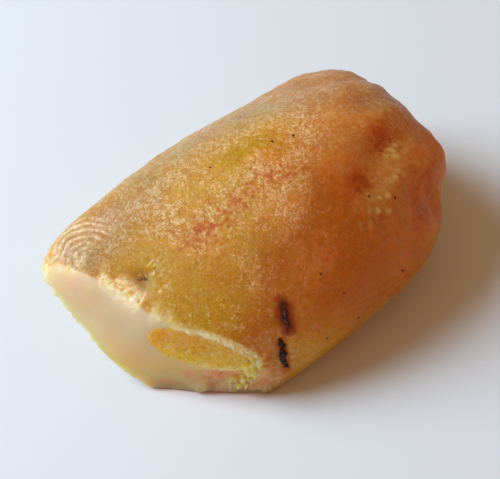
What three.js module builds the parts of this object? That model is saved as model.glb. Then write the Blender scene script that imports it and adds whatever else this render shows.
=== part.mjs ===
// Raw amber piece: one worn pebble of fossil resin with a fresh break at one end.
// Millimetres, +Z up. The fresh break faces -X, the lumpy rear end faces +X,
// and the stone lies on a small flat on its underside, at z = 0.

import * as THREE from "three";
import { mergeVertices } from "three/addons/utils/BufferGeometryUtils.js";

// The stone is about 61 long, 40 wide and 25 high. Every face below is placed from its
// heart, so these distances are the dimensions that drive its size.
const HEART = new THREE.Vector3(-1.75, 0.75, 11.5);

// How many times each edge of the starting icosahedron is split.
const EDGE_SPLITS = 15;

// Broad faces worn by water: the way each one faces, and its distance from the heart.
const WORN_FACES = [
  { faces: [-0.03, 0.03, 1.0], distance: 13.5 }, // top
  { faces: [-0.46, -0.18, 0.86], distance: 12.7 }, // front slope of the top
  { faces: [-0.42, -0.55, 0.72], distance: 14.0 }, // front right slope
  { faces: [0.0, 0.62, 0.78], distance: 15.1 }, // left slope
  { faces: [-0.1, 1.0, 0.25], distance: 18.3 }, // left side
  { faces: [0.1, 0.8, -0.6], distance: 19.0 }, // under the left side
  { faces: [0.1, -0.6, 0.8], distance: 16.1 }, // right slope
  { faces: [0.0, -1.0, 0.25], distance: 20.1 }, // right side
  { faces: [0.1, -0.8, -0.6], distance: 22.3 }, // under the right side
  { faces: [1.0, 0.0, 0.1], distance: 34.5 }, // rear end
  { faces: [0.7, 0.05, 0.72], distance: 27.7 }, // rear slope
  { faces: [0.75, -0.65, 0.1], distance: 29.6 }, // rear right corner
  { faces: [0.65, 0.75, 0.2], distance: 32.0 }, // rear left corner
  { faces: [0.75, 0.0, -0.66], distance: 29.6 }, // under the rear end
  { faces: [-0.45, 0.88, 0.2], distance: 31.2 }, // front left corner
  { faces: [-0.48, 0.38, -0.79], distance: 19.2 }, // under the front left corner
  { faces: [-0.35, -0.93, -0.05], distance: 23.6 }, // front right corner
  { faces: [0.42, 0.08, -0.9], distance: 17.6 }, // underside, rear
  { faces: [-0.2, 0.25, -0.95], distance: 15.8 }, // underside, front
  { faces: [0.05, 0.5, -0.86], distance: 14.8 }, // underside, left
  { faces: [0.15, -0.3, -0.94], distance: 17.6 }, // underside, right
];
const WORN_SHARPNESS = 9;

// The two faces of the fresh break at the front.
const BROKEN_FACES = [
  { faces: [-0.82, -0.3, 0.46], distance: 20.2 }, // main cleft face
  { faces: [-0.66, -0.72, -0.08], distance: 22.5 }, // lower front right
];
const BROKEN_SHARPNESS = 8;
const BREAK_EDGE = 0.9;

// The main cleft face is a shallow shell: a soft hollow in its middle.
const CLEFT_HOLLOW = { at: [-23, 5, 2.3], width: 4, depth: 0.7 };

// The long scar of a flake that split off between the break and the right side: a bite by
// an egg, which is a sphere stretched along one way. Its middle is the deepest point.
const FLAKE_SCAR = {
  middle: [-20.7, -6.5, -0.8],
  faces: [-0.63, -0.77, -0.09],
  longWay: [0.62, -0.76, -0.19],
  radius: 4.1,
  stretch: 3.9,
};
const SCAR_EDGE = 0.6;

// Soft hollows (positive depth) and swellings (negative depth): where each one lies
// from the heart, how wide it is, and how deep.
const HOLLOWS = [
  { at: [-6, 17, 4], width: 8, depth: -0.6 }, // left side swelling
  { at: [2, 12, 9.5], width: 6, depth: -0.4 }, // left slope swelling
  { at: [16, 15, 8], width: 6, depth: 0.9 }, // left slope hollow
  { at: [20, 8.5, 11.5], width: 4.5, depth: 1.0 }, // rear left hollow
  { at: [28, 8, 6], width: 5, depth: -0.6 }, // rear lump, left
  { at: [27, -11, 5], width: 5, depth: -0.4 }, // rear lump, right
  { at: [29, -11, 5.5], width: 3.5, depth: -0.9 }, // knob on the right lump
  { at: [29, -8, 9], width: 1.8, depth: 0.8 }, // notch above the knob
  { at: [26.5, -13, 4.5], width: 2.5, depth: -0.5 }, // bump beside the knob
  { at: [23.5, -16, 2], width: 2.2, depth: 1.3 }, // notch below the knob
  { at: [-26, 14, 1.5], width: 4, depth: -0.9 }, // front left corner
  { at: [20.6, -8.6, 11.4], width: 2.6, depth: 1.6 }, // rear pit
  { at: [13.6, -11.3, 10.8], width: 2, depth: 1.1 }, // front pit
  { at: [18.5, -12.5, 8.5], width: 2.5, depth: -0.7 }, // ridge between the pits
  { at: [22.4, -15.7, 6], width: 2.6, depth: 1.2 }, // side pit
];

// The resting flat, and how softly it rolls up into the sides.
const FLAT_EDGE = 1.0;

// Further than any face of the stone: a direction that misses a face gets this distance.
const OUT_OF_REACH = 200;

const AMBER = new THREE.MeshStandardMaterial({
  color: 0xb8782a,
  roughness: 0.45,
  metalness: 0,
});

// Distance from the heart, along a direction, to a body with flat faces and worn edges:
// (sum over the faces of (direction . facing / distance) ^ sharpness) ^ (-1 / sharpness).
function distanceToFaces(direction, faces, sharpness) {
  let closeness = 0;
  for (const face of faces) {
    const facing = new THREE.Vector3(...face.faces).normalize();
    const reach = Math.max(0, direction.dot(facing)) / face.distance;
    closeness += reach ** sharpness;
  }
  return closeness > 0 ? closeness ** (-1 / sharpness) : OUT_OF_REACH;
}

// Space squeezed along one way, which turns the egg that is stretched that way into a ball.
function squeezed(point, longWay, stretch) {
  return point.clone().addScaledVector(longWay, point.dot(longWay) * (1 / stretch - 1));
}

// Distance to the near side of the egg that the flake scar follows.
function distanceToScar(direction, scar) {
  const facing = new THREE.Vector3(...scar.faces).normalize();
  const longWay = new THREE.Vector3(...scar.longWay).normalize();
  const centre = new THREE.Vector3(...scar.middle).addScaledVector(facing, scar.radius);
  const ray = squeezed(direction, longWay, scar.stretch);
  const ball = squeezed(centre, longWay, scar.stretch);
  const along = ray.dot(ball);
  const halfChordSquared = along ** 2 - ray.lengthSq() * (ball.lengthSq() - scar.radius ** 2);
  if (along <= 0 || halfChordSquared <= 0) return OUT_OF_REACH;
  return (along - Math.sqrt(halfChordSquared)) / ray.lengthSq();
}

// A bell-shaped change of depth around one point of the surface.
function hollowDepth(direction, hollow) {
  const at = new THREE.Vector3(...hollow.at);
  const away = direction.distanceTo(at.clone().normalize()) * at.length();
  return hollow.depth * Math.exp(-0.5 * (away / hollow.width) ** 2);
}

// The smaller of two distances, with the edge between them rounded over a width.
function softMinimum(a, b, width) {
  const near = Math.min(a, OUT_OF_REACH);
  const far = Math.min(b, OUT_OF_REACH);
  const blend = THREE.MathUtils.clamp(0.5 + (0.5 * (far - near)) / width, 0, 1);
  return THREE.MathUtils.lerp(far, near, blend) - width * blend * (1 - blend);
}

// Distance from the heart to the surface of the stone.
function stoneRadius(direction) {
  let radius = distanceToFaces(direction, WORN_FACES, WORN_SHARPNESS);
  for (const hollow of HOLLOWS) radius -= hollowDepth(direction, hollow);
  let broken = distanceToFaces(direction, BROKEN_FACES, BROKEN_SHARPNESS);
  broken -= hollowDepth(direction, CLEFT_HOLLOW);
  radius = softMinimum(radius, broken, BREAK_EDGE);
  radius = softMinimum(radius, distanceToScar(direction, FLAKE_SCAR), SCAR_EDGE);
  const flat = direction.z < 0 ? HEART.z / -direction.z : OUT_OF_REACH;
  return softMinimum(radius, flat, FLAT_EDGE);
}

// The stone: an icosahedron's fine net of triangles, each corner moved out to the surface.
function stoneGeometry() {
  const net = new THREE.IcosahedronGeometry(1, EDGE_SPLITS);
  net.deleteAttribute("normal");
  net.deleteAttribute("uv");
  const geometry = mergeVertices(net);
  const corners = geometry.getAttribute("position");
  const corner = new THREE.Vector3();
  for (let i = 0; i < corners.count; i += 1) {
    corner.fromBufferAttribute(corners, i).normalize();
    corner.multiplyScalar(stoneRadius(corner)).add(HEART);
    corners.setXYZ(i, corner.x, corner.y, corner.z);
  }
  geometry.computeVertexNormals();
  return geometry;
}

const amber = new THREE.Mesh(stoneGeometry(), AMBER);
amber.name = "amber";

const part = new THREE.Group();
part.add(amber);

export default part;
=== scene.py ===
"""A raw piece of amber: a worn, see-through golden pebble with a fresh break at one end."""

import math

import bpy
import numpy as np
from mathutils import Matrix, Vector


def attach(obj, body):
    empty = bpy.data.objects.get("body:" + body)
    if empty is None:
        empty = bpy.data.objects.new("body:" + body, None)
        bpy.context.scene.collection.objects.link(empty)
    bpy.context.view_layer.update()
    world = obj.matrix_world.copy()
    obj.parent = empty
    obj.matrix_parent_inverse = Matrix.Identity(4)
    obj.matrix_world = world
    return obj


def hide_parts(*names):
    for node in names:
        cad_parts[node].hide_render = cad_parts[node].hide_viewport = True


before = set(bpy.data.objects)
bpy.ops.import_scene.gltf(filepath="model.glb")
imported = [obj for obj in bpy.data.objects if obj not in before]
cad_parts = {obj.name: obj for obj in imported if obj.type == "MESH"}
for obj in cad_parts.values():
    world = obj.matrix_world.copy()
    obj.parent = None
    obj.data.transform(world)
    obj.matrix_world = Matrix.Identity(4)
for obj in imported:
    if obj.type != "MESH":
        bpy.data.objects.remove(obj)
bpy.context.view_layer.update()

# ---------------------------------------------------------------------------------------
# The stone.
# One lump of fossil resin. Water wore its broad faces and left a frosted, sugary crust;
# the front end (-X) split off later, leaving two smooth cleft faces and a flake scar.
# ---------------------------------------------------------------------------------------

MM = 0.001
NET = 128  # squares along each edge of the cube that the net of the surface starts from

# Every face lies at a distance in mm from the heart of the stone, facing a given way.
HEART = np.array([-1.75, 0.75, 11.5])
WORN_FACES = [
    ((-0.03, 0.03, 1.0), 13.5),  # top
    ((-0.46, -0.18, 0.86), 12.7),  # front slope of the top
    ((-0.42, -0.55, 0.72), 14.0),  # front right slope
    ((0.0, 0.62, 0.78), 15.1),  # left slope
    ((-0.1, 1.0, 0.25), 18.3),  # left side
    ((0.1, 0.8, -0.6), 19.0),  # under the left side
    ((0.1, -0.6, 0.8), 16.1),  # right slope
    ((0.0, -1.0, 0.25), 20.1),  # right side
    ((0.1, -0.8, -0.6), 22.3),  # under the right side
    ((1.0, 0.0, 0.1), 34.5),  # rear end
    ((0.7, 0.05, 0.72), 27.7),  # rear slope
    ((0.75, -0.65, 0.1), 29.6),  # rear right corner
    ((0.65, 0.75, 0.2), 32.0),  # rear left corner
    ((0.75, 0.0, -0.66), 29.6),  # under the rear end
    ((-0.45, 0.88, 0.2), 31.2),  # front left corner
    ((-0.48, 0.38, -0.79), 19.2),  # under the front left corner
    ((-0.35, -0.93, -0.05), 23.6),  # front right corner
    ((0.42, 0.08, -0.9), 17.6),  # underside, rear
    ((-0.2, 0.25, -0.95), 15.8),  # underside, front
    ((0.05, 0.5, -0.86), 14.8),  # underside, left
    ((0.15, -0.3, -0.94), 17.6),  # underside, right
]
WORN_SHARPNESS = 9
BROKEN_FACES = [
    ((-0.82, -0.3, 0.46), 20.2),  # main cleft face
    ((-0.66, -0.72, -0.08), 22.5),  # lower front right
]
BROKEN_SHARPNESS = 8
BREAK_EDGE = 0.5
CLEFT_HOLLOW = [((-23, 5, 2.3), 4, 0.7)]
SCAR_MIDDLE = np.array([-20.7, -6.5, -0.8])  # deepest point, from the heart
SCAR_FACING = (-0.63, -0.77, -0.09)
SCAR_LONG_WAY = (0.62, -0.76, -0.19)
SCAR_RADIUS, SCAR_STRETCH = 4.1, 3.9
SCAR_EDGE = 0.3
FLAT_EDGE = 1.0
OUT_OF_REACH = 200.0

# Soft hollows: (place from the heart, width, depth). A negative depth is a swelling.
HOLLOWS = [
    ((-6, 17, 4), 8, -0.6),  # left side swelling
    ((2, 12, 9.5), 6, -0.4),  # left slope swelling
    ((16, 15, 8), 6, 0.9),  # left slope hollow
    ((20, 8.5, 11.5), 4.5, 1.0),  # rear left hollow
    ((28, 8, 6), 5, -0.6),  # rear lump, left
    ((27, -11, 5), 5, -0.4),  # rear lump, right
    ((29, -11, 5.5), 3.5, -0.9),  # knob on the right lump
    ((29, -8, 9), 1.8, 0.8),  # notch above the knob
    ((26.5, -13, 4.5), 2.5, -0.5),  # bump beside the knob
    ((23.5, -16, 2), 2.2, 1.3),  # notch below the knob
    ((-26, 14, 1.5), 4, -0.9),  # front left corner
    ((20.6, -8.6, 11.4), 2.6, 1.6),  # rear pit
    ((13.6, -11.3, 10.8), 2.0, 1.1),  # front pit
    ((18.5, -12.5, 8.5), 2.5, -0.7),  # ridge between the pits
    ((22.4, -15.7, 6), 2.6, 1.2),  # side pit
]


def unit(vectors):
    """Vectors shortened or stretched to length 1."""
    vectors = np.asarray(vectors, float)
    return vectors / np.linalg.norm(vectors, axis=-1, keepdims=True)


def smooth_step(low, high, value):
    """0 below low, 1 above high, and 3t^2 - 2t^3 between them."""
    t = np.clip((value - low) / (high - low), 0, 1)
    return t * t * (3 - 2 * t)


def cube_net(n):
    """Unit directions and four-cornered faces of a ball: each side of a cube is a grid of
    two parameters u and v from -1 to 1, spread as tan(45 deg x parameter) and pushed out
    to the ball. The seams between sides share their points."""
    steps = np.arange(n + 1)
    i, j = np.meshgrid(steps, steps, indexing="ij")
    low, high = np.zeros_like(i), np.full_like(i, n)
    sides = [(high, i, j), (low, j, i), (j, high, i), (i, low, j), (i, j, high), (j, i, low)]
    lattice = np.concatenate([np.stack(side, -1).reshape(-1, 3) for side in sides])
    points, shared = np.unique(lattice, axis=0, return_inverse=True)
    shared = shared.reshape(-1)
    corner = (i[:-1, :-1] * (n + 1) + j[:-1, :-1]).ravel()
    square = np.stack([corner, corner + n + 1, corner + n + 2, corner + 1], -1)
    faces = np.concatenate([shared[square + k * (n + 1) ** 2] for k in range(len(sides))])
    spread = np.tan((points / n * 2 - 1) * math.pi / 4)
    return unit(spread), faces


def distance_to_faces(directions, faces, sharpness):
    """Distance from the heart to a body of flat faces with worn edges:
    (sum of (direction . facing / distance) ^ sharpness) ^ (-1 / sharpness)."""
    closeness = 0
    for facing, distance in faces:
        closeness = closeness + (np.maximum(0, directions @ unit(facing)) / distance) ** sharpness
    return np.maximum(closeness, 1e-45) ** (-1 / sharpness)


def hollowed(radius, directions, hollows):
    """The distance less a bell-shaped depth around each hollow's place."""
    for place, width, depth in hollows:
        away = np.linalg.norm(directions - unit(place), axis=-1) * np.linalg.norm(place)
        radius = radius - depth * np.exp(-0.5 * (away / width) ** 2)
    return radius


def distance_to_egg(directions, centre, radius, long_way, stretch):
    """Distance from the heart to the near side of a ball that is stretched along one way.
    Squeezing space along that way turns the egg into a ball: the distance d then solves
    |d ray - centre| = radius."""
    axis = unit(long_way)
    squeeze = np.eye(3) - (1 - 1 / stretch) * np.outer(axis, axis)
    rays, ball = directions @ squeeze, centre @ squeeze
    ray_squared = np.einsum("ij,ij->i", rays, rays)
    along = rays @ ball
    half_chord_squared = along**2 - ray_squared * (ball @ ball - radius**2)
    hit = (along > 0) & (half_chord_squared > 0)
    distance = (along - np.sqrt(np.maximum(half_chord_squared, 0))) / ray_squared
    return np.where(hit, distance, OUT_OF_REACH)


def soft_minimum(a, b, width):
    """The smaller of two distances, the edge between them rounded over a width."""
    near, far = np.minimum(a, OUT_OF_REACH), np.minimum(b, OUT_OF_REACH)
    blend = np.clip(0.5 + 0.5 * (far - near) / width, 0, 1)
    return far + (near - far) * blend - width * blend * (1 - blend)


def scramble(cells, seed):
    """A repeatable random number from 0 to 1 for each whole-numbered cell of space: the
    three numbers are multiplied by primes, joined bit by bit and stirred twice."""
    mixed = cells[..., 0] * 73856093 ^ cells[..., 1] * 19349663 ^ cells[..., 2] * 83492791
    mixed = (mixed ^ seed * 49979687) & 0xFFFFFFFF
    mixed = ((mixed ^ mixed >> 15) * 739982445) & 0xFFFFFFFF
    mixed = ((mixed ^ mixed >> 12) * 695872825) & 0xFFFFFFFF
    return (mixed ^ mixed >> 15) / 2.0**32


def lumps(points, size, seed):
    """Smooth random relief from -1 to 1 with lumps about `size` mm across: a random number
    at each corner of a cubic lattice, blended across each cube by 6t^5 - 15t^4 + 10t^3."""
    scaled = points / size
    corner = np.floor(scaled).astype(np.int64)
    t = scaled - corner
    t = t**3 * (t * (t * 6 - 15) + 10)
    relief = 0
    for step in np.ndindex(2, 2, 2):
        weight = np.prod(np.where(step, t, 1 - t), axis=-1)
        relief = relief + weight * scramble(corner + np.array(step), seed)
    return relief * 2 - 1


def grains(points, size, seed):
    """Packed grains about `size` mm across: the nearest of one jittered centre per cube.
    Gives the distance to it in grain sizes, its random number, and the way to it in mm."""
    scaled = points / size
    corner = np.floor(scaled).astype(np.int64)
    nearest = np.full(len(points), 9.0)
    number = np.zeros(len(points))
    away = np.zeros((len(points), 3))
    for step in np.ndindex(3, 3, 3):
        cell = corner + np.array(step) - 1
        jitter = np.stack([scramble(cell, seed + k) for k in range(3)], -1)
        offset = scaled - cell - jitter
        gap = np.linalg.norm(offset, axis=-1)
        closer = gap < nearest
        nearest[closer] = gap[closer]
        number[closer] = scramble(cell[closer], seed + 3)
        away[closer] = offset[closer]
    return nearest, number, away * size


def chips(points, size, seed):
    """Relief of little flat chips: inside each grain the surface tilts its own way."""
    _, number, away = grains(points, size, seed)
    turn, lean = number * 40 * math.pi, number * 97 % 1
    tilt = np.stack([np.cos(turn), np.sin(turn), lean * 2 - 1], -1)
    return np.einsum("ij,ij->i", tilt, away)


def near(points, places, width):
    """1 on a chain of straight lines through the places, falling as a bell of that width."""
    closest = np.full(len(points), 1e9)
    places = np.array(places, float)
    for start, end in zip(places[:-1], places[1:]):
        run = end - start
        t = np.clip((points - start) @ run / (run @ run), 0, 1)
        closest = np.minimum(closest, np.linalg.norm(points - start - t[:, None] * run, axis=-1))
    return np.exp(-0.5 * (closest / width) ** 2)


def around(points, place, width):
    """1 at a place, falling as a bell of that width in mm."""
    return np.exp(-0.5 * (np.linalg.norm(points - np.array(place, float), axis=-1) / width) ** 2)


directions, net_faces = cube_net(NET)

# The worn body, the two cleft faces and the flake scar, before any fine relief.
worn = distance_to_faces(directions, WORN_FACES, WORN_SHARPNESS)
worn = hollowed(worn, directions, HOLLOWS)
broken = distance_to_faces(directions, BROKEN_FACES, BROKEN_SHARPNESS)
broken = hollowed(broken, directions, CLEFT_HOLLOW)
scar_centre = SCAR_MIDDLE + unit(SCAR_FACING) * SCAR_RADIUS
scar = distance_to_egg(directions, scar_centre, SCAR_RADIUS, SCAR_LONG_WAY, SCAR_STRETCH)
flat = HEART[2] / np.maximum(-directions[:, 2], HEART[2] / OUT_OF_REACH)

smooth_radius = soft_minimum(soft_minimum(worn, broken, BREAK_EDGE), scar, SCAR_EDGE)
smooth_radius = soft_minimum(smooth_radius, flat, FLAT_EDGE)
skin = HEART + directions * smooth_radius[:, None]
x, y, z = skin.T

# Marks that the stone carries, in mm on its surface: chains of places, and single places.
CRACK = [(-11.4, -17.2, 10.2), (-11.7, -18.6, 5.0)]
STAIN = [(-9.0, -14.6, 14.6), (-9.3, -15.4, 13.5), (-9.9, -16.7, 11.8)]
CRUSHED_CORNER = [(-15.5, -16.3, 8.0), (-16.3, -15.9, 5.8), (-17.4, -14.8, 3.2)]
BREAK_LINE = [(-28.0, 11.8, 14.5), (-24.9, 5.7, 14.8), (-23.4, -2.1, 13.3)]
RED_BAND = [(-13.5, -0.8, 19.5), (-7.2, -1.3, 22.3), (-2.4, -2.3, 23.8), (2.3, -3.4, 24.6)]
LEFT_RIM = [(-26.0, 13.0, 16.0), (-14.0, 12.0, 20.5), (-5.0, 12.0, 22.5), (8.0, 11.0, 23.0)]
BEAD_ROUTE = [(18.6, -8.8, 21.2), (16.2, -10.6, 20.5), (12.8, -12.4, 19.6), (8.0, -13.2, 19.2)]
CORNER_TIP = (-25.4, 9.6, 15.8)
NEEDLE_DIMPLE = (-22.1, 1.5, 15.2)
# A thin facet low on the right side, painted lighter and golden as if lit through: a painted glow.
PAINTED_GLOW_FACET = (-7.0, -19.0, 7.5)
ABOVE_SCAR = (-14.8, -10.3, 14.4)
CLEFT_MIDDLE = (-25.0, -1.5, 8.5)
WAVE_CENTRE = (-30.0, 12.0, 14.0)
# Painted glints: bright yellow spots beside the needle, drawn like crushed resin: (place, width,
# strength).
PAINTED_GLINTS = [((-19.4, 1.2, 16.4), 0.8, 0.8), ((-20.2, -1.4, 15.2), 0.7, 0.6)]

# Where the crust is thicker, or worn off to clear resin: (place, width, change).
CRUST_PATCHES = [
    ((15.0, 1.0, 24.3), 7.5, 0.5),  # rear of the top
    ((24.0, -4.0, 22.0), 5.0, 0.35),  # rear slope
    ((-17.2, -4.7, 15.9), 4.5, -0.75),  # front slope
    ((-20.5, 0.5, 15.6), 2.5, -0.75),  # around the needle
    (ABOVE_SCAR, 3.0, -0.75),  # above the scar
    ((3.9, 1.1, 25.0), 2.6, -0.75),  # window on the top
    ((-0.7, 4.2, 24.6), 2.0, -0.75),  # beside it
    ((3.7, -10.8, 21.7), 3.0, -0.75),  # right slope
    ((-7.0, -11.0, 19.5), 2.4, -0.75),  # front right slope
    ((3.0, -18.0, 13.0), 4.5, -0.75),  # right side
    # The crust is thinned on the pit floors so that they read darker: painted shade.
    ((18.0, -6.4, 22.5), 1.8, -0.6),  # floor of the rear pit
    ((10.6, -9.6, 21.5), 1.4, -0.6),  # floor of the front pit
]

# Red-brown weathering in the hollows, deepened on the pit floors as painted shade: (place, width,
# strength).
RED_AND_SHADED_HOLLOWS = [
    ((18.0, -6.4, 22.5), 2.0, 1.3),  # rear pit
    ((10.6, -9.6, 21.5), 1.5, 1.2),  # front pit
    ((22.0, -12.6, 16.8), 2.6, 0.95),  # side pit
    ((18.0, -15.6, 14.5), 2.4, 0.85),  # below it
    ((9.5, -13.8, 18.6), 1.8, 0.7),  # at the end of the beads
]

# How much each point belongs to each kind of surface, from 0 to 1.
in_scar = smooth_step(-0.02, 0.12, np.minimum(worn, broken) - scar)
fresh = smooth_step(0.0, 0.4, worn - broken) * (1 - in_scar)
crust = 1 - np.maximum(fresh, in_scar)
off_flat = smooth_step(0.1, 1.2, z)
low_edge = fresh * smooth_step(3.5, 0.5, z)
low_fresh = fresh * smooth_step(9.5, 2.5, z + 0.15 * y)
side = smooth_step(-15, -18, y) * smooth_step(12.5, 9.5, z)
rear = smooth_step(10.0, 22.0, x)

# The rims of the break and of the scar, splintered in places.
splinters = smooth_step(-0.35, 0.25, lumps(skin, 1.7, 11))
cut = np.minimum(broken, scar)
break_rim = np.exp(-0.5 * ((worn - cut - 0.1) / 0.6) ** 2) * (z > 3)
lip_width = 0.3 + 0.5 * smooth_step(-7, -12, y)
upper_lip = np.exp(-0.5 * ((worn - scar + lip_width * 0.8) / lip_width) ** 2) * (scar < broken + 0.3)
lower_lip = np.exp(-0.5 * ((broken - scar) / 0.15) ** 2) * (worn > broken)
lip = np.maximum(upper_lip, lower_lip * smooth_step(-9, -12, y))
chipped = np.maximum(near(skin, BREAK_LINE, 1.1) * 1.2, break_rim * 0.7) * splinters

# Conchoidal ripples around the front left corner.
RIPPLE_SPACING = 0.95
tip_distance = np.linalg.norm(skin - np.array(CORNER_TIP), axis=-1)
tip = smooth_step(7.0, 5.0, tip_distance) * smooth_step(8.5, 10.5, y)
tip = tip * (directions[:, 0] < -0.5) * crust
tip_phase = (tip_distance + lumps(skin, 2.0, 6) * 0.3) / RIPPLE_SPACING % 1
tip_crest = (1 - np.abs(tip_phase * 2 - 1)) ** 2

# The crack, the dimple of the needle, crushed resin with painted glints, and beads of hard resin.
BEAD_SIZE = 1.2
crack = near(skin, CRACK, 0.5)
dimple = around(skin, NEEDLE_DIMPLE, 1.2)
crushed_and_painted_glints = near(skin, CRUSHED_CORNER, 1.0)
# The crushed corner, and the painted glints beside the needle.
for place, width, strength in PAINTED_GLINTS:
    crushed_and_painted_glints = np.maximum(crushed_and_painted_glints, around(skin, place, width) * strength)
bead_gap, bead_number, _ = grains(skin, BEAD_SIZE, 60)
bead = smooth_step(0.48, 0.25, bead_gap) * (bead_number > 0.35)
beads = smooth_step(0.25, 0.6, near(skin, BEAD_ROUTE, 1.6)) * bead

# How thickly the crust covers the clear resin, in drifts 5 and 2.2 mm wide.
upper_left = smooth_step(-9.0, 3.0, y - 0.15 * x)
cover = 0.45 + upper_left * 0.2 + lumps(skin, 5.0, 12) * 0.3 + lumps(skin, 2.2, 13) * 0.3
cover = cover + near(skin, RED_BAND, 2.6) * 0.2 + near(skin, LEFT_RIM, 3.5) * 0.45
cover = cover + near(skin, BEAD_ROUTE, 2.0) * 0.5
for place, width, change in CRUST_PATCHES:
    cover = cover + around(skin, place, width) * change
cover = np.clip(cover, 0, 1) * crust
splintered_foot = fresh * smooth_step(-7, -11, y) * smooth_step(8, 5, z)
cover = np.maximum(cover, splintered_foot * (0.45 + lumps(skin, 1.5, 16) * 0.35))
frosted = 1 - np.maximum(fresh - cover, 0)

# Fine relief in mm, outwards. The crust is lumpy at every scale down to its grains, the
# cleft faces carry faint shell-like waves 4.8 mm apart, the rims are splintered into flat
# chips, and wavy flow lines 1.2 mm apart run along the foot of the right side.
big_lumps = lumps(skin, 7.0, 1) * 0.30 + lumps(skin, 3.1, 2) * (0.08 + rear * 0.42)
big_lumps = big_lumps + lumps(skin, 1.7, 5) * rear * 0.2
small_lumps = lumps(skin, 1.3, 3) * 0.05 + lumps(skin, 0.7, 4) * 0.05
shell_waves = np.sin(np.linalg.norm(skin - np.array(WAVE_CENTRE), axis=-1) * 1.3)
flow_lines = np.sin((z + lumps(skin * [0.25, 1, 1], 1.8, 7) * 0.5) * 5.2)

relief = crust * (big_lumps + small_lumps * (0.4 + cover))
relief = relief + fresh * (shell_waves * 0.03 + lumps(skin, 6.0, 8) * 0.18)
relief = relief + low_edge * lumps(skin, 2.6, 14) * 0.7
relief = relief + splintered_foot * (lumps(skin, 1.4, 17) * 0.25 + chips(skin, 0.9, 50) * 0.25)
relief = relief + in_scar * (lumps(skin, 1.6, 9) * 0.16 + lumps(skin, 0.6, 10) * 0.08)
relief = relief + chipped * chips(skin, 0.9, 20) * 0.7
relief = relief + lip * (chips(skin, 0.7, 30) * 0.3 + 0.12)
relief = relief + crushed_and_painted_glints * (chips(skin, 0.9, 40) * 1.4 - 0.1)
relief = relief + tip * (tip_crest - 0.4) * 0.4
relief = relief + side * crust * flow_lines * 0.1
relief = relief + beads * 0.25 - crack * 0.9 - dimple * 0.9
radius = smooth_radius + relief * off_flat
stone_points = HEART + directions * radius[:, None]
stone_points[:, 2] = np.maximum(stone_points[:, 2], 0)


def add_mesh(name, points_mm, faces):
    """A new object from points in mm and faces, at the origin, with its place in its mesh."""
    mesh = bpy.data.meshes.new(name)
    face_list = faces if isinstance(faces, list) else faces.tolist()
    mesh.from_pydata((np.asarray(points_mm) * MM).tolist(), [], face_list)
    mesh.update()
    mesh.polygons.foreach_set("use_smooth", np.ones(len(mesh.polygons), bool))
    thing = bpy.data.objects.new(name, mesh)
    bpy.context.scene.collection.objects.link(thing)
    return thing


def add_measure(thing, name, values):
    """Stores a number or a colour at each point, for the material to read."""
    kind, field = ("FLOAT_VECTOR", "vector") if values.ndim == 2 else ("FLOAT", "value")
    attribute = thing.data.attributes.new(name, kind, "POINT")
    attribute.data.foreach_set(field, np.clip(values, 0, 1).astype(np.float32).ravel())


def linear(hex_colour):
    """sRGB hex to linear RGBA: ((c + 0.055) / 1.055) ^ 2.4, or c / 12.92 when dark."""
    channels = [int(hex_colour[i : i + 2], 16) / 255 for i in (1, 3, 5)]
    lin = [c / 12.92 if c <= 0.04045 else ((c + 0.055) / 1.055) ** 2.4 for c in channels]
    return (*lin, 1.0)


def tinted(colours, tint, amount):
    """The colours at each point moved towards a tint by an amount from 0 to 1."""
    return colours + (np.asarray(tint)[..., :3] - colours) * np.clip(amount, 0, 1)[:, None]


# The resin: honey gold at the front left, deepening to orange at the rear right.
GOLD = linear("#ecb60c")
ORANGE = linear("#e4860a")
DEEP = linear("#ff9004")
SCAR_GOLD = linear("#ffcc28")
# The crust: greyish along the left rim and the corner, tan elsewhere. Its flecks are cream,
# golden over orange resin, greyish on the rim, and greyed by painted shade on the shoulder.
CRUST_GREY = linear("#86795e")
CRUST_TAN = linear("#a8702f")
FLECK_CREAM = linear("#f6e2b4")
FLECK_GOLD = linear("#dca864")
FLECK_GREY = linear("#bfac88")
GRAIN_SHADE = linear("#c06406")
# Weathering, stain, beads, and painted shade in the dimple.
RED_BROWN = linear("#bc4600")
STAIN_DARK = linear("#4a1002")
BEAD = linear("#f2d078")
PAINTED_DIMPLE_SHADE = linear("#a07808")
# The fresh faces: pale beige skin, honey in the middle, tan low down, pink at the foot.
FRESH_SKIN = linear("#e2c8a0")
FRESH_HONEY = linear("#dcc8a0")
FRESH_TAN = linear("#ffc878")
FRESH_FOOT = linear("#ff9a68")
FROST = linear("#f8f0e0")
CRUSHED_YELLOW = linear("#fcc830")

outward = skin - HEART
warm = smooth_step(-8.0, 17.0, outward @ [0.60, -0.75, -0.25] + lumps(skin, 8.0, 15) * 3.0)
# The facet's painted glow keeps it golden rather than orange.
warm = warm - around(skin, PAINTED_GLOW_FACET, 4.5) * 0.5 - around(skin, ABOVE_SCAR, 4.0) * 0.15
clouds = lumps(skin, 6.0, 22) * 0.7 + lumps(skin, 3.0, 23) * 0.3
body = np.tile(GOLD[:3], (len(skin), 1))
body = tinted(body, ORANGE, smooth_step(0.0, 0.5, warm))
body = tinted(body, DEEP, smooth_step(0.45, 1.0, warm))
body = tinted(body, DEEP, smooth_step(-0.1, 0.6, clouds) * 0.35)
body = tinted(body, SCAR_GOLD, in_scar * 0.9)

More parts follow.
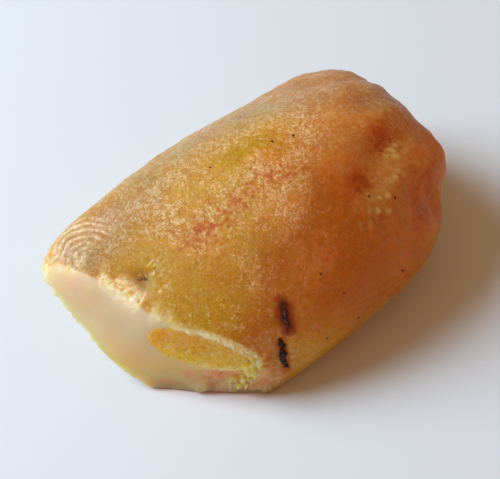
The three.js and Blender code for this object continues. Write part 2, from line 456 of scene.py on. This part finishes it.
# The crust's haze, thickest on the left rim and the corner. The shoulder runs along the upper left
# and over the top towards the rear, facing the window; painted shade darkens and greys it.
painted_shade_shoulder = smooth_step(3.0, 12.0, y + np.maximum(x - 8, 0) * 0.8) * smooth_step(8, 16, z)
rim_haze = np.maximum(near(skin, LEFT_RIM, 3.0), around(skin, CORNER_TIP, 4.0)) * crust
rim_haze = np.clip(rim_haze * (0.75 + lumps(skin, 3.0, 18) * 0.35), 0, 1)
haze = np.maximum(0.04 + smooth_step(0.3, 0.9, cover) * 0.5, rim_haze * 0.85)
haze = np.maximum(haze, painted_shade_shoulder * 0.6)
crust_colour = tinted(np.tile(CRUST_TAN[:3], (len(skin), 1)), CRUST_GREY, rim_haze)
body = tinted(body, crust_colour, haze) * (1 - painted_shade_shoulder * 0.25)[:, None]

# Red-brown blotches 1.5 and 0.5 mm wide, in a band over the front slope, in the hollows
# (weathering, and painted shade on the pit floors) and in streaks along the foot of the right side.
red = near(skin, RED_BAND, 1.7) * 0.75
for place, width, strength in RED_AND_SHADED_HOLLOWS:
    red = np.maximum(red, around(skin, place, width) * strength)
red = np.maximum(red, side * crust * (0.3 + flow_lines * 0.4))
# Less red on the facet, for its painted glow.
red = red - around(skin, PAINTED_GLOW_FACET, 4.0) * 0.5
red = red + lumps(skin, 1.5, 24) * 0.3 + lumps(skin, 0.5, 25) * 0.5
red_share = smooth_step(0.2, 1.2, red) * 0.85 * crust
body = tinted(body, RED_BROWN, red_share)
frosted = frosted * (1 - red_share * 0.35)
body = tinted(body, BEAD, beads * 0.75)
# Painted shade darkens the needle's dimple.
body = tinted(body, PAINTED_DIMPLE_SHADE, dimple * 0.6)
# Painted glow: the thin facet is tinted towards light gold.
body = tinted(body, GOLD, around(skin, PAINTED_GLOW_FACET, 4.0) * 0.5)

# The fresh faces, with fine streaks along the break that spread from its corner.
BREAK_WAY = unit((0.33, -0.88, -0.35))
streaks = lumps(skin - 0.85 * (skin @ BREAK_WAY)[:, None] * BREAK_WAY, 1.1, 26)
fresh_colour = np.tile(FRESH_SKIN[:3], (len(skin), 1))
fresh_colour = tinted(fresh_colour, FRESH_HONEY, around(skin, CLEFT_MIDDLE, 4.5))
fresh_colour = tinted(fresh_colour, FRESH_TAN, low_fresh * 0.8)
fresh_colour = tinted(fresh_colour, FRESH_FOOT, np.maximum(low_edge, smooth_step(0.1, 0.6, cover)))
fresh_colour = tinted(fresh_colour, FROST, smooth_step(0.0, 0.8, streaks) * 0.14)
fresh_colour = tinted(fresh_colour, FROST, near(skin, BREAK_LINE, 2.2) * 0.22)
body = tinted(body, fresh_colour, fresh * 0.9)

stain = np.maximum(near(skin, STAIN, 1.1), near(skin, CRACK, 0.9) * 0.55)
stain = stain + lumps(skin, 1.5, 27) * 0.15 + lumps(skin, 0.7, 28) * 0.1
body = tinted(body, RED_BROWN, smooth_step(0.25, 0.8, stain) * 0.9)
body = tinted(body, STAIN_DARK, smooth_step(0.75, 1.05, stain) * 0.9)
frosted = frosted * (1 - smooth_step(0.25, 0.8, stain) * 0.8)

# Less clear where the resin looks pale: the scar, the low edge, and the facet with its painted glow.
pale_places = in_scar * 0.2 + around(skin, PAINTED_GLOW_FACET, 4.0) * 0.25 + low_edge * 0.2
# Whitish chipped rims, scar lips and ripple crests, partly painted glints.
chips_and_painted_glints = np.clip(np.maximum(chipped, np.maximum(lip, tip * tip_crest * 0.9)), 0, 1)
fleck_colour = tinted(np.tile(FLECK_CREAM[:3], (len(skin), 1)), FLECK_GOLD, smooth_step(0.2, 0.7, warm))
# Painted shade also greys the flecks on the shoulder.
fleck_colour = tinted(fleck_colour, FLECK_GREY, np.maximum(rim_haze, painted_shade_shoulder * 0.9))
fleck_colour = tinted(fleck_colour, FLECK_GOLD, red_share)
shiny = np.clip(np.maximum(chips_and_painted_glints, crushed_and_painted_glints), 0, 1)
clear_share = 0.42 - fresh * 0.2 - chips_and_painted_glints * 0.3 - haze * 0.55 - red_share * 0.2 - pale_places

stone = add_mesh("amber_stone", stone_points, net_faces)
add_measure(stone, "body_colour", body)
add_measure(stone, "fleck_colour", fleck_colour)
add_measure(stone, "frosted", frosted)
add_measure(stone, "grain_cover", cover * 0.19 + in_scar * 0.09 + 0.03)
add_measure(stone, "fresh", fresh)
add_measure(stone, "chips_and_painted_glints", chips_and_painted_glints)
add_measure(stone, "crushed_and_painted_glints", crushed_and_painted_glints)
add_measure(stone, "roughness", 0.5 - fresh * 0.18 - shiny * 0.3)
add_measure(stone, "clearness", clear_share)


def node(tree, kind, settings=None, inputs=None):
    """Adds a node with its settings. An input is a value, or another node's output to link."""
    made = tree.nodes.new(kind)
    for key, value in (settings or {}).items():
        setattr(made, key, value)
    for key, value in (inputs or {}).items():
        if isinstance(value, bpy.types.NodeSocket):
            tree.links.new(value, made.inputs[key])
        else:
            made.inputs[key].default_value = value
    return made.outputs


def new_material(name):
    """A material with only a Principled surface; gives its tree, that node and the output."""
    material = bpy.data.materials.new(name)
    material.use_nodes = True
    tree = material.node_tree
    tree.nodes.clear()
    surface = tree.nodes.new("ShaderNodeBsdfPrincipled")
    output = tree.nodes.new("ShaderNodeOutputMaterial")
    tree.links.new(surface.outputs["BSDF"], output.inputs["Surface"])
    return material, tree, surface, output


# Raw Baltic amber, water-worn: a see-through resin (IOR 1.54) that soaks up blue and green
# light, so it is golden where thin and orange-brown where thick. The frosted crust of fine
# grains scatters light and looks pale; the fresh break is satin.
amber, tree, surface, output = new_material("baltic_amber_worn")

MATH, RANGE, MIX = "ShaderNodeMath", "ShaderNodeMapRange", "ShaderNodeMix"
NOISE, CELLS, MEASURE = "ShaderNodeTexNoise", "ShaderNodeTexVoronoi", "ShaderNodeAttribute"
TIMES, PLUS, MINUS = {"operation": "MULTIPLY"}, {"operation": "ADD"}, {"operation": "SUBTRACT"}
MINUS_TO_ZERO = {"operation": "SUBTRACT", "use_clamp": True}
LARGER, SIZE_ONLY = {"operation": "MAXIMUM"}, {"operation": "ABSOLUTE"}
SMOOTH, COLOURS = {"interpolation_type": "SMOOTHSTEP"}, {"data_type": "RGBA"}

# Raw amber's crust is a sugar of 0.2 to 0.3 mm grains; cells twice that give it clumps.
GRAIN_SIZE = 0.24 * MM
CLUMP_SIZE = 0.45 * MM
GRIT_SIZE = 0.21 * MM
NEEDLE_SIZE = 0.3 * MM
PITTING_SIZE = 0.3 * MM
WOBBLE_SIZE = 0.4 * MM
WOBBLE = 1.0 * MM
PIT_DEPTH = 0.1 * MM
RESIN_IOR = 1.54
CLOUD_DEPTH = 13 * MM  # how far the longest-lived light, the red, wanders in the cloudy resin
SOAKING = 170.0  # strength of the absorption, per metre

place = node(tree, "ShaderNodeTexCoord")["Object"]
frost_here = node(tree, MEASURE, {"attribute_name": "frosted"})["Fac"]
fresh_here = node(tree, MEASURE, {"attribute_name": "fresh"})["Fac"]
chips_and_glints_here = node(tree, MEASURE, {"attribute_name": "chips_and_painted_glints"})["Fac"]
crushed_and_glints_here = node(tree, MEASURE, {"attribute_name": "crushed_and_painted_glints"})["Fac"]
cover_here = node(tree, MEASURE, {"attribute_name": "grain_cover"})["Fac"]
body_here = node(tree, MEASURE, {"attribute_name": "body_colour"})["Color"]
fleck_here = node(tree, MEASURE, {"attribute_name": "fleck_colour"})["Color"]
rough_here = node(tree, MEASURE, {"attribute_name": "roughness"})["Fac"]
clear_here = node(tree, MEASURE, {"attribute_name": "clearness"})["Fac"]

# Cells with wobbly borders, and three random numbers for each cell.
wobbly = {"Vector": place, "Scale": 1 / WOBBLE_SIZE, "Roughness": 0.6}
wobble = node(tree, NOISE, None, wobbly)["Color"]
add_wobble = {0: wobble, 1: (WOBBLE, WOBBLE, WOBBLE), 2: place}
bent = node(tree, "ShaderNodeVectorMath", {"operation": "MULTIPLY_ADD"}, add_wobble)[0]
clump = node(tree, CELLS, None, {"Vector": bent, "Scale": 1 / CLUMP_SIZE})["Color"]
grain = node(tree, CELLS, None, {"Vector": bent, "Scale": 1 / GRAIN_SIZE})["Color"]
clump_one, clump_two, _ = node(tree, "ShaderNodeSeparateColor", None, {0: clump})
grain_one, grain_two, grain_three = node(tree, "ShaderNodeSeparateColor", None, {0: grain})

# Grit: the peaks of fine noise, more of them where the crust is thick.
rough_noise = {"Vector": place, "Scale": 1 / GRIT_SIZE, "Roughness": 0.7, "Distortion": 0.6}
grit_noise = node(tree, NOISE, None, rough_noise)["Fac"]
peaks = node(tree, MATH, PLUS, {0: grit_noise, 1: cover_here})[0]
grit = node(tree, RANGE, SMOOTH, {0: peaks, 1: 0.62, 2: 0.74})[0]

# Needles: thin lines where noise crosses its middle value, cut short clump by clump.
line_noise = {"Vector": place, "Scale": 1 / NEEDLE_SIZE, "Roughness": 0.6, "Distortion": 1.0}
crossing = node(tree, MATH, MINUS, {0: node(tree, NOISE, None, line_noise)["Fac"], 1: 0.5})[0]
off_line = node(tree, MATH, SIZE_ONLY, {0: crossing})[0]
line = node(tree, RANGE, SMOOTH, {0: off_line, 1: 0.015, 2: 0.069, 3: 1.0, 4: 0.0})[0]
cover_share = node(tree, MATH, TIMES, {0: cover_here, 1: 3.2})[0]
chance = node(tree, MATH, PLUS, {0: clump_one, 1: cover_share})[0]
cut_short = node(tree, RANGE, SMOOTH, {0: chance, 1: 0.9, 2: 1.0})[0]
needles = node(tree, MATH, TIMES, {0: line, 1: cut_short})[0]
either = node(tree, MATH, LARGER, {0: grit, 1: needles})[0]
pale = node(tree, MATH, TIMES, {0: either, 1: frost_here})[0]

# Colour: the resin, darker grains, pale flecks of uneven brightness that are partly painted
# glints, frost on the fresh faces, whitish chips with painted glints on the chipped rims, and
# yellow splinters with painted cream glints where it is crushed.
dark = node(tree, RANGE, SMOOTH, {0: grain_two, 1: 0.0, 2: 0.6, 3: 0.45, 4: 0.0})[0]
dark = node(tree, MATH, TIMES, {0: dark, 1: frost_here})[0]
colour = node(tree, MIX, COLOURS, {0: dark, 6: body_here, 7: GRAIN_SHADE})[2]
# Flecks of uneven brightness: pale grains, the brightest of them partly painted glints.
brighter = node(tree, MATH, LARGER, {0: clump_two, 1: grain_three})[0]
fleck_and_glint_brightness = node(tree, RANGE, SMOOTH, {0: brighter, 1: 0.5, 2: 1.0, 3: 0.08, 4: 0.85})[0]
fleck_and_glint_brightness = node(tree, MATH, TIMES, {0: fleck_and_glint_brightness, 1: pale})[0]
colour = node(tree, MIX, COLOURS, {0: fleck_and_glint_brightness, 6: colour, 7: fleck_here})[2]
frost = node(tree, RANGE, SMOOTH, {0: grit_noise, 1: 0.6, 2: 0.7, 3: 0.0, 4: 0.35})[0]
frost = node(tree, MATH, TIMES, {0: frost, 1: fresh_here})[0]
colour = node(tree, MIX, COLOURS, {0: frost, 6: colour, 7: FROST})[2]
# Whitish chips, with painted glints on them.
chip_white_and_glint = node(tree, RANGE, SMOOTH, {0: grain_one, 1: 0.2, 2: 0.5, 3: 0.3, 4: 1.0})[0]
chip_white_and_glint = node(tree, MATH, TIMES, {0: chip_white_and_glint, 1: chips_and_glints_here})[0]
colour = node(tree, MIX, COLOURS, {0: chip_white_and_glint, 6: colour, 7: FLECK_CREAM})[2]
yellow = node(tree, RANGE, SMOOTH, {0: clump_two, 1: 0.2, 2: 0.8, 3: 0.5, 4: 1.0})[0]
yellow = node(tree, MATH, TIMES, {0: yellow, 1: crushed_and_glints_here})[0]
colour = node(tree, MIX, COLOURS, {0: yellow, 6: colour, 7: CRUSHED_YELLOW})[2]
# Painted cream glints on the crushed resin.
painted_cream_glints = node(tree, RANGE, SMOOTH, {0: clump_one, 1: 0.7, 2: 0.8})[0]
painted_cream_glints = node(tree, MATH, TIMES, {0: painted_cream_glints, 1: crushed_and_glints_here})[0]
colour = node(tree, MIX, COLOURS, {0: painted_cream_glints, 6: colour, 7: FLECK_CREAM})[2]

# Flecks are smoother and less clear than the resin; pitting and flecks roughen the crust.
smoother = node(tree, MATH, TIMES, {0: pale, 1: 0.2})[0]
roughness = node(tree, MATH, MINUS_TO_ZERO, {0: rough_here, 1: smoother})[0]
cloudy = node(tree, MATH, TIMES, {0: pale, 1: 0.35})[0]
clearness = node(tree, MATH, MINUS_TO_ZERO, {0: clear_here, 1: cloudy})[0]
pitting = node(tree, NOISE, None, {"Vector": place, "Scale": 1 / PITTING_SIZE, "Roughness": 0.65})["Fac"]
raised = node(tree, MATH, TIMES, {0: pale, 1: 0.6})[0]
height = node(tree, MATH, PLUS, {0: pitting, 1: raised})[0]
height = node(tree, MATH, TIMES, {0: height, 1: frost_here})[0]
relief_here = {"Strength": 0.7, "Distance": PIT_DEPTH, "Height": height}
bump = node(tree, "ShaderNodeBump", None, relief_here)["Normal"]

tree.links.new(colour, surface.inputs["Base Color"])
tree.links.new(roughness, surface.inputs["Roughness"])
tree.links.new(clearness, surface.inputs["Transmission Weight"])
tree.links.new(bump, surface.inputs["Normal"])
surface.inputs["IOR"].default_value = RESIN_IOR
surface.inputs["Specular IOR Level"].default_value = 0.2
surface.inputs["Subsurface Weight"].default_value = 1.0
surface.inputs["Subsurface Radius"].default_value = (1.0, 0.45, 0.15)
surface.inputs["Subsurface Scale"].default_value = CLOUD_DEPTH
soaks_up = {"Color": (0.98, 0.72, 0.08, 1.0), "Density": SOAKING}
absorption = node(tree, "ShaderNodeVolumeAbsorption", None, soaks_up)["Volume"]
tree.links.new(absorption, output.inputs["Volume"])

stone.data.materials.append(amber)
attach(stone, "root")
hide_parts("amber")

# ---------------------------------------------------------------------------------------
# The bark crumbs.
# Crumbs of the tree's bark, turned black and brittle like charcoal. The resin ran over
# them, and the crack in the right flank lays them open.
# ---------------------------------------------------------------------------------------

CRUMB_NET = 6
BARK_CRUMBS = 26
BARK_CRUMB_SIZE = (0.2, 0.55)
CRUMB_ROUTE = [(-11.4, -17.1, 10.2), (-11.7, -18.1, 8.0), (-11.6, -18.6, 5.2)]
CRUMB_BEND = 0.4
CRUMB_SPREAD = 0.24


def on_skin(place, depth):
    """The point of the finished surface nearest in direction to a place, sunk by a depth."""
    nearest = np.argmax(directions @ unit(np.asarray(place, float) - HEART))
    return HEART + directions[nearest] * (radius[nearest] - depth)


def crumbs(name, places, sizes, seed):
    """One mesh of angular crumbs: balls squashed by a random amount along each axis, with
    their surface pushed in and out by random lumps of half their size."""
    ball, faces = cube_net(CRUMB_NET)
    draw = np.random.default_rng(seed)
    points, every_face = [], []
    for k, (place, size) in enumerate(zip(places, sizes)):
        squash = draw.uniform(0.6, 1.2, 3)
        rough = 1 + lumps(ball * 2, 1.0, seed + k)[:, None] * 0.35
        points.append(np.asarray(place) + ball * rough * squash * size)
        every_face.append(faces + len(ball) * k)
    return add_mesh(name, np.concatenate(points), np.concatenate(every_face))


def dark_matter(name, colour, colour_between, grain_mm):
    """A dull opaque plant remain, mottled between two colours."""
    material, tree, surface, _ = new_material(name)
    place = node(tree, "ShaderNodeTexCoord")["Object"]
    inputs = {"Vector": place, "Scale": 1 / (grain_mm * MM), "Detail": 3.0}
    mottle = node(tree, NOISE, None, inputs)["Fac"]
    inputs = {0: mottle, 6: linear(colour), 7: linear(colour_between)}
    mixed = node(tree, MIX, COLOURS, inputs)[2]
    tree.links.new(mixed, surface.inputs["Base Color"])
    surface.inputs["Roughness"].default_value = 0.6
    return material


draw = np.random.default_rng(7)
along = np.linspace(0, 1, BARK_CRUMBS)[:, None]
top, bend, foot = np.array(CRUMB_ROUTE)
upper_part = top + (bend - top) * along / CRUMB_BEND
lower_part = bend + (foot - bend) * (along - CRUMB_BEND) / (1 - CRUMB_BEND)
route = np.where(along < CRUMB_BEND, upper_part, lower_part)
route = route + draw.normal(0, CRUMB_SPREAD, route.shape)
crumb_places = [on_skin(place, draw.uniform(-0.1, 0.2)) for place in route]
bark = crumbs("bark_crumbs", crumb_places, draw.uniform(*BARK_CRUMB_SIZE, BARK_CRUMBS), 60)
bark.data.materials.append(dark_matter("bark_charcoal_brittle", "#17100c", "#3a3128", 0.3))
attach(bark, "root")

# ---------------------------------------------------------------------------------------
# The wood sliver.
# A thin curved splinter of decayed wood, red-brown with a near-black core, sealed just
# under the skin above the bark crumbs, with the stain that it bled into the resin.
# ---------------------------------------------------------------------------------------

SLIVER_ROUTE = [(-9.15, -14.9, 14.1), (-9.5, -15.7, 13.2), (-9.7, -16.4, 12.4), (-10.3, -17.0, 11.4)]
SLIVER_HALF_WIDTH = 0.26


def splinter(name, route, half_width, depth, seed):
    """A tapered splinter along a route: a ring of points at each step, its half width
    swelling as the sine of the way along and roughened at random."""
    steps, around_count = 24, 8
    route = np.array(route)
    t = np.linspace(0, 1, steps)
    knots = np.linspace(0, 1, len(route))
    centre = np.stack([np.interp(t, knots, route[:, axis]) for axis in range(3)], -1)
    centre = np.array([on_skin(place, depth) for place in centre])
    forward = unit(np.gradient(centre, axis=0))
    outward = unit(centre - HEART)
    sideways = unit(np.cross(forward, outward))
    angle = np.linspace(0, math.tau, around_count, endpoint=False)
    draw = np.random.default_rng(seed)
    width = half_width * (0.15 + np.sin(t * math.pi)) * draw.uniform(0.7, 1.2, steps)
    ring = sideways[:, None] * np.cos(angle)[:, None] + outward[:, None] * np.sin(angle)[:, None]
    points = centre[:, None] + ring * width[:, None, None]
    tips = centre[[0, -1]]
    row, column = np.meshgrid(np.arange(steps - 1), np.arange(around_count), indexing="ij")
    here, there = row * around_count, (row + 1) * around_count
    turn = (column + 1) % around_count
    sides = np.stack([here + column, there + column, there + turn, here + turn], -1).reshape(-1, 4)
    first, last = steps * around_count, steps * around_count + 1
    k = np.arange(around_count)
    turn = (k + 1) % around_count
    first_cap = np.stack([k, turn, np.full_like(k, first)], -1)
    end_row = (steps - 1) * around_count
    last_cap = np.stack([end_row + turn, end_row + k, np.full_like(k, last)], -1)
    faces = sides.tolist() + first_cap.tolist() + last_cap.tolist()
    mesh_points = np.concatenate([points.reshape(-1, 3), tips])
    return add_mesh(name, mesh_points, faces)


sliver = splinter("wood_sliver", SLIVER_ROUTE, SLIVER_HALF_WIDTH, -0.02, 70)
sliver.data.materials.append(dark_matter("wood_decayed_brown", "#1c0704", "#541a0a", 0.5))
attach(sliver, "root")

# ---------------------------------------------------------------------------------------
# The plant needle.
# The stub of a needle or bud scale, red-brown, left standing in a dimple of the front
# slope where the resin shrank back from it.
# ---------------------------------------------------------------------------------------

NEEDLE_ROUTE = [(-22.6, 2.1, 15.1), (-22.1, 1.5, 15.2), (-21.5, 0.9, 15.4)]
NEEDLE_HALF_WIDTH = 0.2
needle = splinter("plant_needle", NEEDLE_ROUTE, NEEDLE_HALF_WIDTH, 0.05, 80)
needle.data.materials.append(dark_matter("needle_dried_red_brown", "#4e2a0a", "#7a5212", 0.4))
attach(needle, "root")

# ---------------------------------------------------------------------------------------
# The specks.
# Grains of soil and plant dust that stuck to the resin while it was soft, now half sunk
# in the crust: tiny, dark red-brown to black.
# ---------------------------------------------------------------------------------------

SPECK_PLACES = [
    (7.2, 1.5, 25.1),
    (-5.3, 5.4, 23.8),
    (-0.5, -18.2, 13.7),
    (-4.7, -19.6, 7.8),
    (1.0, -19.9, 7.9),
    (10.7, -19.4, 10.4),
    (10.2, -11.4, 20.6),
    (13.2, -12.9, 18.9),
    (4.0, 2.6, 25.0),
    (-2.5, -15.6, 16.8),
]
SPECK_SIZE = (0.13, 0.24)
speck_points = [on_skin(place, 0.03) for place in SPECK_PLACES]
specks = crumbs("soil_specks", speck_points, draw.uniform(*SPECK_SIZE, len(SPECK_PLACES)), 90)
specks.data.materials.append(dark_matter("soil_grains_dark", "#1a0f0a", "#4a1c0c", 0.3))
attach(specks, "root")

# ---------------------------------------------------------------------------------------
# The floor, the light and the camera: a plain pale sheet, one large soft window to the
# left and a little behind, and pale light from all round.
# ---------------------------------------------------------------------------------------

FLOOR_SIDE = 3.0
floor_corners = np.array([(-1, -1, 0), (1, -1, 0), (1, 1, 0), (-1, 1, 0)]) * FLOOR_SIDE / 2 / MM
floor = add_mesh("floor", floor_corners, [(0, 1, 2, 3)])
paper, _, surface, _ = new_material("white_paper_uncoated")
surface.inputs["Base Color"].default_value = linear("#dfe4ea")
surface.inputs["Roughness"].default_value = 0.9
floor.data.materials.append(paper)

world = bpy.data.worlds.new("pale_room")
world.use_nodes = True
sky = world.node_tree.nodes["Background"]
sky.inputs["Color"].default_value = linear("#ffcb94")
sky.inputs["Strength"].default_value = 0.35
bpy.context.scene.world = world

WINDOW_FROM = unit((-0.52, 0.57, 0.62))
WINDOW_DISTANCE = 0.7
WINDOW_SIDE = 0.4
window_light = bpy.data.lights.new("window", "AREA")
window_light.shape = "RECTANGLE"
window_light.size = WINDOW_SIDE
window_light.size_y = WINDOW_SIDE
window_light.energy = 7.5
window_light.color = linear("#d9efff")[:3]
window = bpy.data.objects.new("window", window_light)
window.location = Vector(WINDOW_FROM * WINDOW_DISTANCE)
window.rotation_euler = Vector(WINDOW_FROM).to_track_quat("Z", "Y").to_euler()
bpy.context.scene.collection.objects.link(window)

CAMERA_TARGET = Vector((-1.65, 0.9, 9.0)) * MM
CAMERA_AZIMUTH = math.radians(-41)
CAMERA_ELEVATION = math.radians(50)
CAMERA_DISTANCE = 230 * MM
VIEW_WIDTH = 75 * MM
camera_data = bpy.data.cameras.new("camera")
camera_data.lens = camera_data.sensor_width * CAMERA_DISTANCE / VIEW_WIDTH
camera_data.clip_start = 0.01
camera = bpy.data.objects.new("camera", camera_data)
back = Vector(
    (
        math.sin(CAMERA_AZIMUTH) * math.cos(CAMERA_ELEVATION),
        -math.cos(CAMERA_AZIMUTH) * math.cos(CAMERA_ELEVATION),
        math.sin(CAMERA_ELEVATION),
    )
)
camera.location = CAMERA_TARGET + back * CAMERA_DISTANCE
camera.rotation_euler = back.to_track_quat("Z", "Y").to_euler()
bpy.context.scene.collection.objects.link(camera)
bpy.context.scene.camera = camera
bpy.context.scene.view_settings.view_transform = "Standard"
bpy.context.scene.cycles.max_bounces = 24
bpy.context.scene.cycles.glossy_bounces = 16
bpy.context.scene.cycles.transmission_bounces = 24
